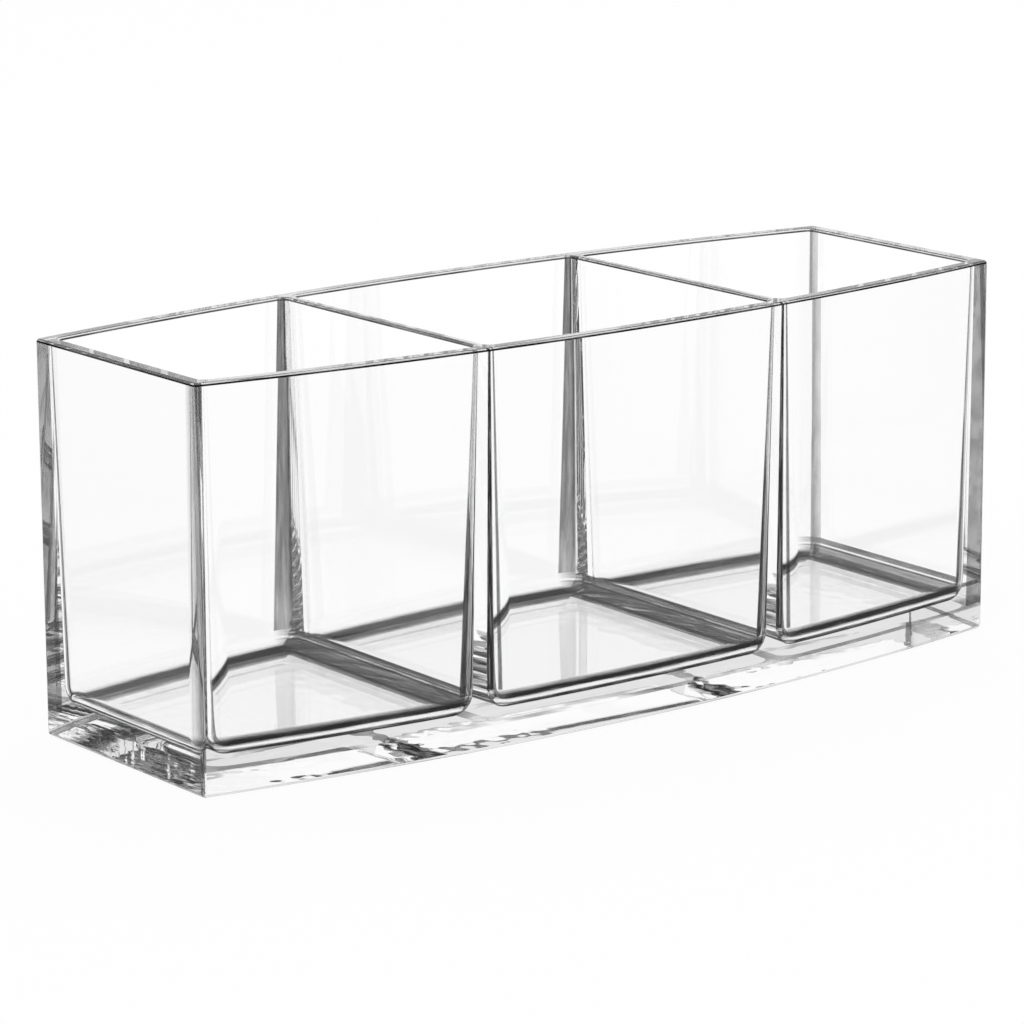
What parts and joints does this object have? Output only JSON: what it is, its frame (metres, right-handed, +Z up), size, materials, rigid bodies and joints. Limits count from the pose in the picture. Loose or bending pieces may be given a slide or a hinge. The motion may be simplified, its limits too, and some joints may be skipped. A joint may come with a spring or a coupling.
{
  "type": "makeup storage box",
  "caption": "Clear open-topped countertop makeup organizer with bowed front and back walls, straight ends, upright dividers and a thick clear base.",
  "frame": {"origin": "middle of the underside of the base", "axes": "+Z up, X along the box from the left end to the right end, -Y out of the bowed front"},
  "size_m": [0.238, 0.088, 0.095],
  "materials": {
    "base": "clear, polished",
    "front_wall": "clear, polished",
    "back_wall": "clear, polished",
    "left_end_wall": "clear, polished",
    "right_end_wall": "clear, polished",
    "left_divider": "clear, polished",
    "right_divider": "clear, polished"
  },
  "bodies": {
    "root": {"base": "base", "front_wall": "front_wall", "back_wall": "back_wall", "left_end_wall": "left_end_wall", "right_end_wall": "right_end_wall", "left_divider": "left_divider", "right_divider": "right_divider"}
  },
  "joints": []
}
